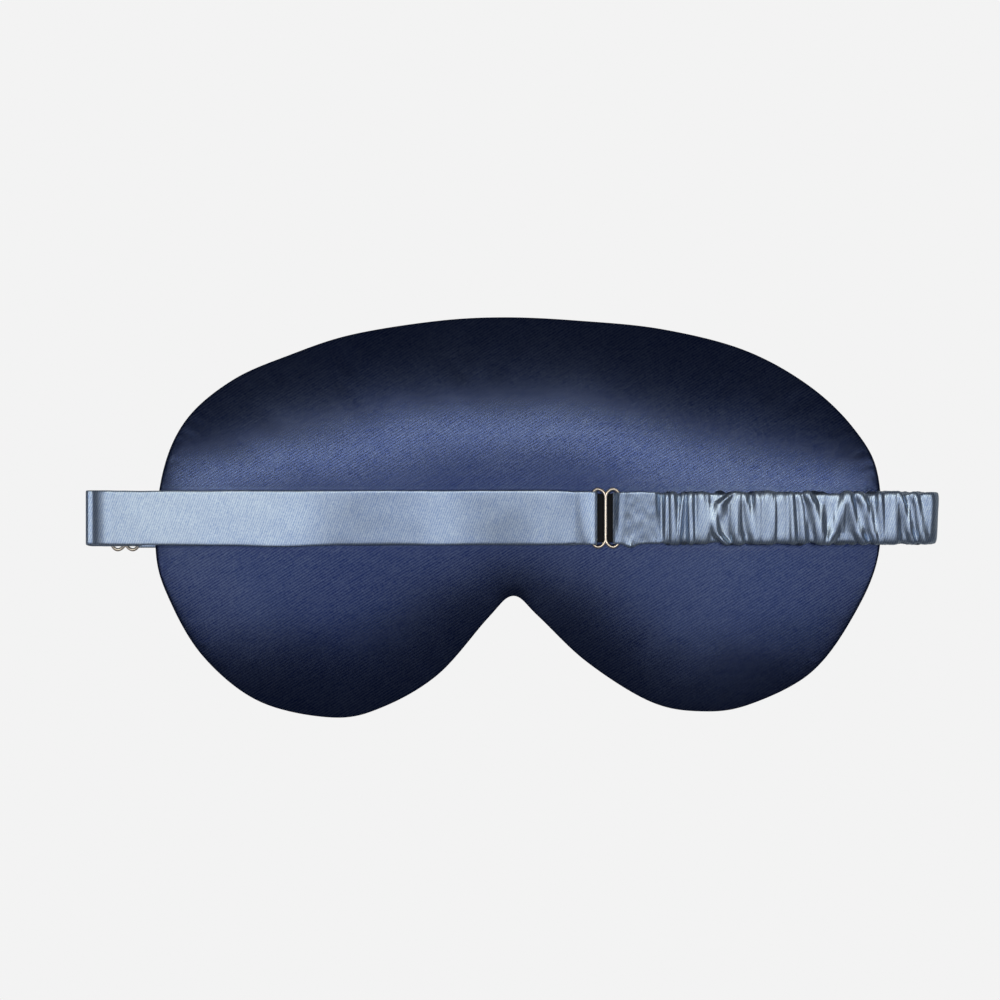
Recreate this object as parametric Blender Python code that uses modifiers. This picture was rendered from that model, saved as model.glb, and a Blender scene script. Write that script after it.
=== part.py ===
"""Sleep eye mask: a padded satin mask lying on its outer face, with its strap laid flat across it.

Axes: +X runs along the strap to its gathered end, +Y towards the top of the mask, +Z away from the
surface that the mask lies on. Lengths are given in millimetres and multiplied by MM.
"""
import math

import bmesh
import bpy
from mathutils import Vector

MM = 0.001

# ---- driving dimensions, millimetres -------------------------------------------------------------
MASK_X = 1.9
SCALE_CENTRE = (-0.5, 10.0)
SEAM_Z = 6.5
SEAM_GAP = 1.5
CROWN_RISE = 7.0
FLAT_SHARE = 0.62
PANEL_THICKNESS = 0.4
FIT_GAP = 0.3
LINING_THICKNESS = 0.3
LINING_SCALE = 0.9
PAD_SCALE = 0.93
OUTLINE_STEPS = 3
ALLOWANCE_INNER = 0.945
ALLOWANCE_OUTER = 0.972
ALLOWANCE_THICKNESS = 0.8
THREAD_SCALE = 0.98
THREAD_RADIUS = 0.13

STRAP_WIDTH = 15.8
WOVEN_WIDTH = 14.4
STRAP_THICKNESS = 0.5
STRAP_Y = -0.15
LOWER_RUN_Y = -1.05
STRAP_END_X = 124.0
ARCH_END_Z = 9.0
ARCH_RISE = 5.2
PLY_PITCH = STRAP_THICKNESS + FIT_GAP
BODY_SPLIT_X = 117.0
SPLIT_GAP = 0.3

WIRE_RADIUS = 0.5
SLIDE_HALF_WIDTH = 4.1
SLIDE_HALF_HEIGHT = 8.4
SLIDE_CORNER = 0.45
WRAP_RADIUS = WIRE_RADIUS + FIT_GAP + STRAP_THICKNESS / 2
CONNECTOR_X = 27.1
CONNECTOR_Z = 15.5
ADJUSTER_X = -112.85
ADJUSTER_Z = 5.6
WRAP_JOIN = 4.5

TAB_END_X = 42.6
TAB_STITCH_X = 41.4
STITCH_RADIUS = 0.15
STITCH_COUNT = 9
STITCH_LENGTH = 13.6

CASING_START_X = 43.0
CASING_END_X = 108.3
CASING_HALF_WIDTH = 7.6
CASING_HALF_HEIGHT = 1.3
CASING_WALL = 0.35
CASING_RISE = 1.6
RUCHE_PITCH = 5.5
RUCHE_DEPTH = 0.22
ELASTIC_WIDTH = 12.0
ELASTIC_THICKNESS = 0.8
ELASTIC_INSET = 1.7
FOLD_STRETCH = 0.12

# ---- colours (linear RGB), roughness, metallic ---------------------------------------------------
FINISHES = {
    "navy_satin": ((0.020, 0.036, 0.105, 1.0), 0.42, 0.0),
    "blue_satin": ((0.200, 0.290, 0.430, 1.0), 0.35, 0.0),
    "gold_wire": ((0.800, 0.560, 0.300, 1.0), 0.22, 1.0),
    "blackout_cloth": ((0.010, 0.010, 0.012, 1.0), 0.85, 0.0),
    "fibre_fill": ((0.850, 0.850, 0.830, 1.0), 0.95, 0.0),
    "elastic_webbing": ((0.780, 0.780, 0.760, 1.0), 0.80, 0.0),
    "navy_thread": ((0.015, 0.025, 0.070, 1.0), 0.60, 0.0),
    "blue_thread": ((0.170, 0.240, 0.360, 1.0), 0.60, 0.0),
}

# The outline of the mask seen from the wearer's side, anticlockwise from the nose notch.
MASK_OUTLINE = [
    (-1.5, -22.7), (5.7, -28.7), (20.0, -42.2), (38.7, -53.8), (54.0, -56.5), (67.5, -54.4),
    (85.0, -45.4), (97.0, -29.8), (105.0, -11.0), (105.0, 12.0), (98.3, 25.5), (85.0, 38.4),
    (66.0, 48.9), (42.0, 55.0), (18.0, 57.4), (-4.0, 58.4), (-24.1, 57.3), (-48.9, 53.3),
    (-66.8, 47.4), (-82.2, 39.0), (-95.8, 27.3), (-104.0, 12.3), (-105.8, -9.9), (-101.4, -24.8),
    (-91.5, -41.0), (-75.3, -53.8), (-54.0, -58.4), (-39.5, -55.3), (-23.3, -45.7), (-8.8, -29.2),
]


# ---- scene and materials -------------------------------------------------------------------------
def clear_scene():
    """Remove every object of the scene."""
    for item in list(bpy.data.objects):
        bpy.data.objects.remove(item, do_unlink=True)


def new_collection(name):
    """Add a collection to the scene."""
    collection = bpy.data.collections.new(name)
    bpy.context.scene.collection.children.link(collection)
    return collection


def finish(name):
    """Return the material of that name, making it at its first use."""
    material = bpy.data.materials.get(name)
    if material:
        return material
    colour, roughness, metallic = FINISHES[name]
    material = bpy.data.materials.new(name)
    material.use_nodes = True
    shader = material.node_tree.nodes["Principled BSDF"]
    shader.inputs["Base Color"].default_value = colour
    shader.inputs["Roughness"].default_value = roughness
    shader.inputs["Metallic"].default_value = metallic
    material.diffuse_color = colour
    return material


def add_mesh(name, bm, origin, material_name, smooth=True):
    """Turn a bmesh drawn in millimetres round the row's origin into an object placed at origin."""
    bmesh.ops.translate(bm, verts=bm.verts, vec=-Vector(origin))
    bmesh.ops.scale(bm, verts=bm.verts, vec=(MM, MM, MM))
    mesh = bpy.data.meshes.new(name)
    bm.to_mesh(mesh)
    bm.free()
    for polygon in mesh.polygons:
        polygon.use_smooth = smooth
    item = bpy.data.objects.new(name, mesh)
    item.location = Vector(origin) * MM
    item.data.materials.append(finish(material_name))
    PART.objects.link(item)
    return item


def solidify(item, thickness, offset):
    """Give a sheet its thickness with a Solidify modifier."""
    modifier = item.modifiers.new("thickness", "SOLIDIFY")
    modifier.thickness = thickness * MM
    modifier.offset = offset
    modifier.use_even_offset = True
    return modifier


# ---- curves --------------------------------------------------------------------------------------
def smooth_points(points, steps, closed=False):
    """Return points along a Catmull-Rom curve through the given points."""
    count = len(points)
    spans = count if closed else count - 1
    result = []
    for span in range(spans):
        window = [points[_wrapped(span + shift, count, closed)] for shift in (-1, 0, 1, 2)]
        before, start, end, after = [Vector(point) for point in window]
        for step in range(steps):
            t = step / steps
            linear = (end - before) * t
            square = (2 * before - 5 * start + 4 * end - after) * t ** 2
            cube = (3 * start - before - 3 * end + after) * t ** 3
            result.append((2 * start + linear + square + cube) / 2)
    if not closed:
        result.append(Vector(points[-1]))
    return result


def _wrapped(index, count, closed):
    """Return an index into a closed list, or the nearest end of an open one."""
    return index % count if closed else min(max(index, 0), count - 1)


def arc(centre_x, centre_z, radius, start, end, steps):
    """Return points of an arc in the XZ plane, from one angle to another in degrees."""
    points = []
    for step in range(steps + 1):
        angle = math.radians(start + (end - start) * step / steps)
        points.append((centre_x + radius * math.cos(angle), centre_z + radius * math.sin(angle)))
    return points


def arch_z(x):
    """Return the height of the underside of the strap's lowest ply, laid over the mask."""
    return ARCH_END_Z + ARCH_RISE * (1 - (abs(x) / STRAP_END_X) ** 4)


def mask_outline(scale, z):
    """Return the mask's outline drawn in towards its centre, at height z."""
    ring = []
    centre = Vector(SCALE_CENTRE)
    for point in smooth_points(MASK_OUTLINE, OUTLINE_STEPS, closed=True):
        place = centre + (point - centre) * scale
        ring.append(Vector((place.x + MASK_X, place.y, z)))
    return ring


# ---- lofts ---------------------------------------------------------------------------------------
def loft(bm, rings, cap_start, cap_end):
    """Join closed rings of equal length into a surface, with flat ends where asked."""
    loops = []
    for ring in rings:
        verts = [bm.verts.new(point) for point in ring]
        edges = [bm.edges.new(pair) for pair in zip(verts, verts[1:] + verts[:1])]
        loops.append((verts, edges))
    for (_, lower), (_, upper) in zip(loops, loops[1:]):
        bmesh.ops.bridge_loops(bm, edges=lower + upper)
    if cap_start:
        bm.faces.new(loops[0][0])
    if cap_end:
        bm.faces.new(loops[-1][0])
    bmesh.ops.recalc_face_normals(bm, faces=bm.faces)


def crown(share, rim_z, top_z):
    """Return the height of the crowned wearer's side at a share of the way out to the seam."""
    return rim_z + (top_z - rim_z) * math.sqrt(max(0.0, 1 - share ** 2.6))


def bowl(share, rim_z, bottom_z):
    """Return the height of the outer side: flat in the middle, turning up to the seam."""
    turn = max(0.0, (share - FLAT_SHARE) / (1 - FLAT_SHARE))
    return rim_z + (bottom_z - rim_z) * math.sqrt(max(0.0, 1 - turn ** 2.2))


CROWN_SHARES = [1.0, 0.995, 0.975, 0.94, 0.89, 0.82, 0.72, 0.58, 0.4, 0.2]
BOWL_SHARES = [1.0, 0.997, 0.985, 0.96, 0.92, 0.86, 0.78, 0.7, FLAT_SHARE]


def add_front_panel():
    """Satin of the outer side, which the mask lies on."""
    rings = [mask_outline(share, bowl(share, SEAM_Z - SEAM_GAP / 2, 0.0)) for share in BOWL_SHARES]
    bm = bmesh.new()
    loft(bm, rings, False, True)
    item = add_mesh("front_panel", bm, (MASK_X, 0, 0), "navy_satin")
    solidify(item, PANEL_THICKNESS, -1)


def add_back_panel():
    """Satin of the wearer's side, crowned by the filling."""
    top = SEAM_Z + CROWN_RISE
    rings = [mask_outline(share, crown(share, SEAM_Z + SEAM_GAP / 2, top)) for share in CROWN_SHARES]
    bm = bmesh.new()
    loft(bm, rings, False, True)
    item = add_mesh("back_panel", bm, (MASK_X, 0, SEAM_Z), "navy_satin")
    solidify(item, PANEL_THICKNESS, -1)


def add_lining():
    """Black cloth that stops the light, between the outer satin and the filling."""
    low = PANEL_THICKNESS + FIT_GAP + LINING_THICKNESS
    high = SEAM_Z - 2.5
    shares = BOWL_SHARES[2:]
    rings = [mask_outline(share * LINING_SCALE, bowl(share, high, low)) for share in shares]
    bm = bmesh.new()
    loft(bm, rings, False, True)
    item = add_mesh("blackout_lining", bm, (MASK_X, 0, low), "blackout_cloth")
    solidify(item, LINING_THICKNESS, 1)


def add_filling():
    """The soft filling, one closed cushion between the lining and the wearer's side."""
    low = PANEL_THICKNESS + LINING_THICKNESS + 2 * FIT_GAP
    top = SEAM_Z + CROWN_RISE - PANEL_THICKNESS - FIT_GAP
    under = [
        mask_outline(share * PAD_SCALE * 0.94, bowl(share, SEAM_Z - 1.0, low + 0.3))
        for share in reversed(BOWL_SHARES[2:])
    ]
    middle = [mask_outline(PAD_SCALE, SEAM_Z + 0.4)]
    over = [
        mask_outline(share * PAD_SCALE, crown(share, SEAM_Z + 0.7, top - 0.25))
        for share in CROWN_SHARES[2:]
    ]
    bm = bmesh.new()
    loft(bm, under + middle + over, True, True)
    add_mesh("filling_pad", bm, (MASK_X, 0, SEAM_Z), "fibre_fill")


def add_seam_allowance():
    """The turned-in edges of both satin panels, one flat ring inside the seam."""
    low = SEAM_Z - ALLOWANCE_THICKNESS / 2
    high = SEAM_Z + ALLOWANCE_THICKNESS / 2
    rings = [
        mask_outline(ALLOWANCE_INNER, low),
        mask_outline(ALLOWANCE_OUTER, low),
        mask_outline(ALLOWANCE_OUTER, high),
        mask_outline(ALLOWANCE_INNER, high),
        mask_outline(ALLOWANCE_INNER, low),
    ]
    bm = bmesh.new()
    loft(bm, rings, False, False)
    bmesh.ops.remove_doubles(bm, verts=bm.verts, dist=0.001)
    bmesh.ops.recalc_face_normals(bm, faces=bm.faces)
    add_mesh("seam_allowance", bm, (MASK_X, 0, SEAM_Z), "navy_satin", smooth=False)


# ---- threads and wires ---------------------------------------------------------------------------
def round_wire(name, points, radius, closed, material_name, resolution=1):
    """Return a round wire through the points, as a curve object with filled ends."""
    curve = bpy.data.curves.new(name, "CURVE")
    curve.dimensions = "3D"
    curve.bevel_depth = radius * MM
    curve.bevel_resolution = resolution
    curve.use_fill_caps = True
    spline = curve.splines.new("POLY")
    spline.points.add(len(points) - 1)
    origin = sum((Vector(point) for point in points), Vector()) / len(points)
    for target, point in zip(spline.points, points):
        target.co = ((Vector(point) - origin) * MM).to_4d()
    spline.use_cyclic_u = closed
    spline.use_smooth = True
    item = bpy.data.objects.new(name, curve)
    item.location = origin * MM
    curve.materials.append(finish(material_name))
    PART.objects.link(item)
    return item


def add_seam_thread():
    """The thread of the closing seam, one loop round the whole mask."""
    round_wire("seam_thread", mask_outline(THREAD_SCALE, SEAM_Z), THREAD_RADIUS, True, "navy_thread")


def add_stitch_row(name, x, y, z, material_name):
    """A row of stitches across a strap, as one thread that rises over each stitch."""
    points = []
    samples = STITCH_COUNT * 4
    for step in range(samples + 1):
        share = step / samples
        rise = 0.18 * abs(math.sin(math.pi * STITCH_COUNT * share))
        points.append((x, y + STITCH_LENGTH * (share - 0.5), z + rise))
    round_wire(name, points, STITCH_RADIUS, False, material_name)


def slide_loop_points():
    """Return the outer path of a figure-of-eight slide, centred on the origin in the XY plane."""
    half = SLIDE_HALF_WIDTH / 2
    points = []
    for side in (1, -1):
        for step in range(21):
            angle = math.radians(side * (128 - 256 * step / 20))
            along = math.copysign(abs(math.cos(angle)) ** SLIDE_CORNER, math.cos(angle))
            across = math.copysign(abs(math.sin(angle)) ** SLIDE_CORNER, math.sin(angle))
            points.append((side * (half + half * along), SLIDE_HALF_HEIGHT * across, 0))
    return points


def add_slide(name, centre):
    """A figure-of-eight wire slide: its outer loop joined to the bar across its middle."""
    loop = round_wire(name + "_loop", slide_loop_points(), WIRE_RADIUS, True, "gold_wire", 2)
    graph = bpy.context.evaluated_depsgraph_get()
    mesh = bpy.data.meshes.new_from_object(loop.evaluated_get(graph))
    bm = bmesh.new()
    bm.from_mesh(mesh)
    bmesh.ops.remove_doubles(bm, verts=bm.verts, dist=0.000001)
    bm.to_mesh(mesh)
    bm.free()
    item = bpy.data.objects.new(name, mesh)
    item.location = loop.location + Vector(centre) * MM
    PART.objects.link(item)
    bpy.data.objects.remove(loop, do_unlink=True)
    reach = 2 * (SLIDE_HALF_HEIGHT * 0.89) * MM
    bpy.ops.mesh.primitive_cylinder_add(
        vertices=12, radius=WIRE_RADIUS * 0.96 * MM, depth=reach, rotation=(math.pi / 2, 0, 0)
    )
    bar = bpy.context.active_object
    bar.name = name + "_bar"
    bar.location = Vector(centre) * MM
    bar.hide_render = True
    bar.display_type = "WIRE"
    for collection in list(bar.users_collection):
        collection.objects.unlink(bar)
    CUTTERS.objects.link(bar)
    union = item.modifiers.new("centre_bar", "BOOLEAN")
    union.operation = "UNION"
    union.solver = "EXACT"
    union.object = bar
    for polygon in mesh.polygons:
        polygon.use_smooth = True
    return item


# ---- straps --------------------------------------------------------------------------------------
def ribbon(name, path, y_centre, width, material_name):
    """A flat strap that follows a path of (x, z) points, as a sheet given its thickness."""
    bm = bmesh.new()
    low = y_centre - width / 2
    verts = [bm.verts.new((x, low, z)) for x, z in path]
    edges = [bm.edges.new(pair) for pair in zip(verts, verts[1:])]
    swept = bmesh.ops.extrude_edge_only(bm, edges=edges)
    moved = [part for part in swept["geom"] if isinstance(part, bmesh.types.BMVert)]
    bmesh.ops.translate(bm, verts=moved, vec=(0, width, 0))
    middle = path[len(path) // 2]
    item = add_mesh(name, bm, (middle[0], y_centre, middle[1]), material_name)
    solidify(item, STRAP_THICKNESS, 0)
    return item


def ply_path(start, end, ply, steps):
    """Return the centre line of one ply laid over the mask, ply 0 being the lowest."""
    points = []
    for step in range(steps + 1):
        x = start + (end - start) * step / steps
        points.append((x, arch_z(x) + STRAP_THICKNESS / 2 + ply * PLY_PITCH))
    return points


def add_flat_strap():
    """The flat satin strap: two plies over the mask, their folds, the weave and the sewn tail."""
    bar_x = CONNECTOR_X - SLIDE_HALF_WIDTH
    join_x = bar_x - WRAP_JOIN
    fold_x = -BODY_SPLIT_X
    inner = ply_path(fold_x + SPLIT_GAP, join_x - SPLIT_GAP, 0, 28)
    outer = ply_path(fold_x + SPLIT_GAP, join_x - SPLIT_GAP, 1, 28)
    ribbon("strap_inner_ply", inner, STRAP_Y, STRAP_WIDTH, "blue_satin")
    ribbon("strap_outer_ply", outer, STRAP_Y, STRAP_WIDTH, "blue_satin")

    low_join, high_join = ply_path(join_x, join_x, 0, 1)[0], ply_path(join_x, join_x, 1, 1)[0]
    wrap = [low_join, (join_x + 1.5, low_join[1])]
    wrap += arc(bar_x, CONNECTOR_Z, WRAP_RADIUS, -90, 90, 10)
    wrap += [(join_x + 1.7, high_join[1] + 0.45), high_join]
    ribbon("strap_end_wrap", smooth_points(wrap, 3), STRAP_Y, WOVEN_WIDTH, "blue_satin")

    top = ply_path(fold_x, fold_x, 1, 1)[0]
    under = (ADJUSTER_X - 6.8, ADJUSTER_Z + WRAP_RADIUS)
    radius = (top[1] - under[1]) / 2
    turn_x = -STRAP_END_X + STRAP_THICKNESS / 2 + radius + 0.1
    outer_fold = [top, (top[0] - 2.0, top[1] - 0.1)]
    outer_fold += arc(turn_x, under[1] + radius, radius, 90, 270, 12)[1:]
    outer_fold += [under]
    fold_y = (STRAP_Y + LOWER_RUN_Y) / 2
    ribbon("strap_fold_outer", smooth_points(outer_fold, 2), fold_y, STRAP_WIDTH, "blue_satin")

    inner_top = ply_path(fold_x, fold_x, 0, 1)[0]
    leg_z = ADJUSTER_Z + WRAP_RADIUS + 2 * PLY_PITCH
    inner_radius = (inner_top[1] - leg_z) / 2
    inner_fold = [inner_top, (inner_top[0] - 2.0, inner_top[1] - 0.05)]
    inner_fold += arc(turn_x, leg_z + inner_radius, inner_radius, 90, 270, 8)[1:]
    inner_fold += [(ADJUSTER_X - 4.9, leg_z)]
    ribbon("strap_fold_inner", smooth_points(inner_fold, 2), fold_y, STRAP_WIDTH, "blue_satin")

    anchor = [
        (ADJUSTER_X + 5.2, ADJUSTER_Z + WRAP_RADIUS),
        (ADJUSTER_X + 7.0, SEAM_Z + 0.05),
        (-102.6, SEAM_Z),
    ]
    ribbon("strap_anchor_run", smooth_points(anchor, 4), LOWER_RUN_Y, STRAP_WIDTH, "blue_satin")


def add_adjuster():
    """The adjuster slide with the strap woven through it and the strap's tail sewn round its bar."""
    add_slide("adjuster_slide", (ADJUSTER_X, LOWER_RUN_Y, ADJUSTER_Z))
    over = WRAP_RADIUS
    half_weave = [(-6.5, over), (-5.3, over), (-4.1, 1.08), (-3.15, 0.6), (-2.5, -0.4), (-1.65, -1.45)]
    weave = half_weave + [(0.0, -1.88)] + [(-x, z) for x, z in reversed(half_weave[1:])]
    weave[-1] = (4.9, over)
    path = [(ADJUSTER_X + x, ADJUSTER_Z + z) for x, z in smooth_points(weave, 3)]
    ribbon("strap_weave", path, LOWER_RUN_Y, WOVEN_WIDTH, "blue_satin")

    low_leg = over + PLY_PITCH
    high_leg = over + 2 * PLY_PITCH
    tail = [(-4.6, low_leg), (-3.2, low_leg), (-1.95, 1.35)]
    tail += arc(0, 0, WRAP_RADIUS, 170, 440, 12)
    tail += [(-1.0, 1.75), (-2.3, 2.5), (-3.6, high_leg), (-4.6, high_leg)]
    path = [(ADJUSTER_X + x, ADJUSTER_Z + z) for x, z in smooth_points(tail, 2)]
    ribbon("tail_loop", path, LOWER_RUN_Y, WOVEN_WIDTH, "blue_satin")
    stitch_z = ADJUSTER_Z + high_leg + STRAP_THICKNESS / 2 + STITCH_RADIUS + 0.05
    add_stitch_row("tail_stitch", ADJUSTER_X - 4.0, LOWER_RUN_Y, stitch_z, "blue_thread")


def add_tab():
    """The doubled satin tab round the connector, and the row of stitches that closes it."""
    bar_x = CONNECTOR_X + SLIDE_HALF_WIDTH
    low_end, high_end = ply_path(TAB_END_X, TAB_END_X, 0, 1)[0], ply_path(TAB_END_X, TAB_END_X, 1, 1)[0]
    tab = [low_end, (TAB_END_X - 3.0, low_end[1] + 0.05), (bar_x + 4.2, low_end[1] + 0.05)]
    tab += arc(bar_x, CONNECTOR_Z, WRAP_RADIUS, 270, 90, 10)
    tab += [(bar_x + 3.6, high_end[1] + 0.5), (TAB_END_X - 3.0, high_end[1] + 0.05), high_end]
    ribbon("elastic_tab", smooth_points(tab, 3), STRAP_Y, WOVEN_WIDTH, "blue_satin")
    stitch_z = high_end[1] + STRAP_THICKNESS / 2 + STITCH_RADIUS + 0.1
    add_stitch_row("tab_stitch", TAB_STITCH_X, STRAP_Y, stitch_z, "blue_thread")


def add_connector():
    """The slide that joins the flat strap to the tab of the gathered strap."""
    add_slide("connector_slide", (CONNECTOR_X, STRAP_Y, CONNECTOR_Z))


# ---- gathered elastic strap ----------------------------------------------------------------------
def gathered_path():
    """Return the centre line of the gathered strap: over the mask, round its fold and back."""
    points = []
    for step in range(41):
        x = CASING_START_X + (BODY_SPLIT_X - CASING_START_X) * step / 40
        points.append((x, arch_z(x) + CASING_RISE))
    top_z = points[-1][1]
    radius = (top_z - SEAM_Z) / 2
    turn_x = STRAP_END_X - CASING_HALF_HEIGHT + FOLD_STRETCH - radius
    points += arc(turn_x, SEAM_Z + radius, radius, 90, -90, 14)[1:]
    for step in range(1, 11):
        points.append((turn_x + (CASING_END_X - turn_x) * step / 10, SEAM_Z))
    return points


def path_normal(path, index):
    """Return the direction across the path in the XZ plane, outward on the upper run."""
    before = path[max(index - 1, 0)]
    after = path[min(index + 1, len(path) - 1)]
    along = Vector((after[0] - before[0], after[1] - before[1])).normalized()
    return Vector((-along.y, along.x))


def casing_ring(path, index, distance):
    """Return one cross-section of the gathered casing, swelling and shrinking along its length."""
    x, z = path[index]
    out = path_normal(path, index)
    wave = math.sin(2 * math.pi * distance / RUCHE_PITCH)
    height = CASING_HALF_HEIGHT + RUCHE_DEPTH * wave
    width = CASING_HALF_WIDTH + RUCHE_DEPTH * math.sin(2 * math.pi * distance / (RUCHE_PITCH * 0.83))
    ring = []
    for step in range(16):
        angle = 2 * math.pi * step / 16
        across = math.copysign(abs(math.cos(angle)) ** 0.35, math.cos(angle))
        rise = math.copysign(abs(math.sin(angle)) ** 0.7, math.sin(angle))
        y = STRAP_Y + width * across
        ring.append(Vector((x + out.x * height * rise, y, z + out.y * height * rise)))
    return ring


def add_casing(name, path, start, end):
    """One stretch of the gathered casing: an open-ended tube with thin walls."""
    rings = []
    distance = 0.0
    for index in range(len(path)):
        if index:
            distance += (Vector(path[index]) - Vector(path[index - 1])).length
        if start <= index <= end:
            rings.append(casing_ring(path, index, distance))
    bm = bmesh.new()
    loft(bm, rings, False, False)
    middle = path[(start + end) // 2]
    item = add_mesh(name, bm, (middle[0], STRAP_Y, middle[1]), "blue_satin")
    solidify(item, CASING_WALL, -1)


def add_elastic(name, path, start, end):
    """One stretch of the flat elastic inside the casing."""
    bm = bmesh.new()
    low = STRAP_Y - ELASTIC_WIDTH / 2
    verts = [bm.verts.new((x, low, z)) for x, z in path[start:end + 1]]
    edges = [bm.edges.new(pair) for pair in zip(verts, verts[1:])]
    swept = bmesh.ops.extrude_edge_only(bm, edges=edges)
    moved = [part for part in swept["geom"] if isinstance(part, bmesh.types.BMVert)]
    bmesh.ops.translate(bm, verts=moved, vec=(0, ELASTIC_WIDTH, 0))
    middle = path[(start + end) // 2]
    item = add_mesh(name, bm, (middle[0], STRAP_Y, middle[1]), "elastic_webbing")
    solidify(item, ELASTIC_THICKNESS, 0)


def add_gathered_strap():
    """The gathered strap in three stretches: over the mask, the fold, and the run to the seam."""
    path = gathered_path()
    split_upper = 40
    split_lower = 58
    add_casing("ruched_casing", path, 0, split_upper - 1)
    add_casing("ruched_casing_fold", path, split_upper, split_lower)
    add_casing("ruched_casing_anchor", path, split_lower + 1, len(path) - 1)
    add_elastic("elastic_core", path, 0, split_upper - 1)
    add_elastic("elastic_core_fold", path, split_upper, split_lower)
    sewn_end = [(CASING_END_X - 0.4 - ELASTIC_INSET, SEAM_Z)]
    add_elastic("elastic_core_anchor", path[split_lower + 1:] + sewn_end, 0, len(path) - split_lower - 1)


def main():
    """Build the whole mask."""
    add_front_panel()
    add_lining()
    add_filling()
    add_back_panel()
    add_seam_allowance()
    add_seam_thread()
    add_flat_strap()
    add_adjuster()
    add_connector()
    add_tab()
    add_gathered_strap()


clear_scene()
PART = new_collection("sleep_eye_mask")
CUTTERS = new_collection("cutters")
main()
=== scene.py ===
"""The looks of the sleep eye mask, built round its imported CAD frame.

Shapes are drawn in millimetres in the row's frame and turned into metres when a mesh is made.
"""
import math
import random

import bpy
import numpy as np
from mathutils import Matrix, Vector, geometry, noise


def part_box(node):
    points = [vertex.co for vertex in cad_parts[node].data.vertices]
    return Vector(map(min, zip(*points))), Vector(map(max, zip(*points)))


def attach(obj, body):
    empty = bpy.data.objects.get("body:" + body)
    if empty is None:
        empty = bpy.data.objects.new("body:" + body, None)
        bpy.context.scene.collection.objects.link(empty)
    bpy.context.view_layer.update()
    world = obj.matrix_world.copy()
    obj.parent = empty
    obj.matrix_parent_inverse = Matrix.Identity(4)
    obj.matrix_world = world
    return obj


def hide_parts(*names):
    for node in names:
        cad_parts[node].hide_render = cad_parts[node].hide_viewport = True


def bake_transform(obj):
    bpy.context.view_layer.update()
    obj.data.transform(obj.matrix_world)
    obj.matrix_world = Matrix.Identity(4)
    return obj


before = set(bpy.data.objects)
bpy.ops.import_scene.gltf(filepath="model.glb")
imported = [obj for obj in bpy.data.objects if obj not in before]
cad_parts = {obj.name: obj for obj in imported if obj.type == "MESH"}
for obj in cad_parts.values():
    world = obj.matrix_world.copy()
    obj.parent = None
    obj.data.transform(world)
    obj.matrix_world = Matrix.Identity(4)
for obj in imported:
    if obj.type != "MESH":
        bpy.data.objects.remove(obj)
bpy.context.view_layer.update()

MM = 0.001


# ---- measures read from the frame, in millimetres -----------------------------------------------
def box_mm(node):
    """Return the lowest and highest corner of a CAD node in millimetres."""
    low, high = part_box(node)
    return low / MM, high / MM


back_low, back_high = box_mm("back_panel")
thread_low, thread_high = box_mm("seam_thread")
outer_low, outer_high = box_mm("strap_outer_ply")
_, inner_high = box_mm("strap_inner_ply")
fold_low, _ = box_mm("strap_fold_outer")
inner_fold_low, _ = box_mm("strap_fold_inner")
connector_low, connector_high = box_mm("connector_slide")
adjuster_low, adjuster_high = box_mm("adjuster_slide")
_, tab_high = box_mm("elastic_tab")
casing_low, _ = box_mm("ruched_casing")
_, casing_fold_high = box_mm("ruched_casing_fold")
anchor_low, anchor_high = box_mm("ruched_casing_anchor")
weave_low, _ = box_mm("strap_weave")

MASK_X = (back_low.x + back_high.x) / 2 + 0.03
SEAM_Z = (thread_low.z + thread_high.z) / 2
CROWN_Z = back_high.z - 0.1
STRAP_Y = (outer_low.y + outer_high.y) / 2
STRAP_WIDTH = outer_high.y - outer_low.y
CONNECTOR = (connector_low + connector_high) / 2
ADJUSTER = (adjuster_low + adjuster_high) / 2
WIRE_RADIUS = (connector_high.z - connector_low.z) / 2
SLIDE_HALF_WIDTH = (connector_high.x - connector_low.x) / 2 - WIRE_RADIUS
SLIDE_HALF_HEIGHT = (connector_high.y - connector_low.y) / 2 - WIRE_RADIUS
LOWER_RUN_Y = ADJUSTER.y
GATHER_START = casing_low.x
STRAP_THICKNESS = 0.5
PLY_PITCH = 0.8
WRAP_GAP = 0.3
WRAP_RADIUS = WIRE_RADIUS + WRAP_GAP + STRAP_THICKNESS / 2
SPLIT_X = 117.0

# Outline of the mask from the wearer's side, anticlockwise from the nose notch. It is the CAD's outline,
# a little fuller at the upper left corner.
MASK_OUTLINE = [
    (-1.5, -22.7), (5.7, -28.7), (20.0, -42.2), (38.7, -53.8), (54.0, -56.5), (67.5, -54.4),
    (85.0, -45.4), (97.0, -29.8), (105.0, -11.0), (105.0, 12.0), (98.3, 25.5), (85.0, 38.4),
    (66.0, 48.9), (42.0, 55.0), (18.0, 57.4), (-4.0, 58.4), (-24.1, 57.3), (-48.9, 53.3),
    (-66.8, 47.4), (-83.5, 40.1), (-97.1, 28.4), (-104.0, 12.3), (-105.8, -9.9), (-101.4, -24.8),
    (-91.5, -41.0), (-75.3, -53.8), (-54.0, -58.4), (-39.5, -55.3), (-23.3, -45.7), (-8.8, -29.2),
]
OUTLINE_CENTRE = np.array((-0.5, 10.0))


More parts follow.
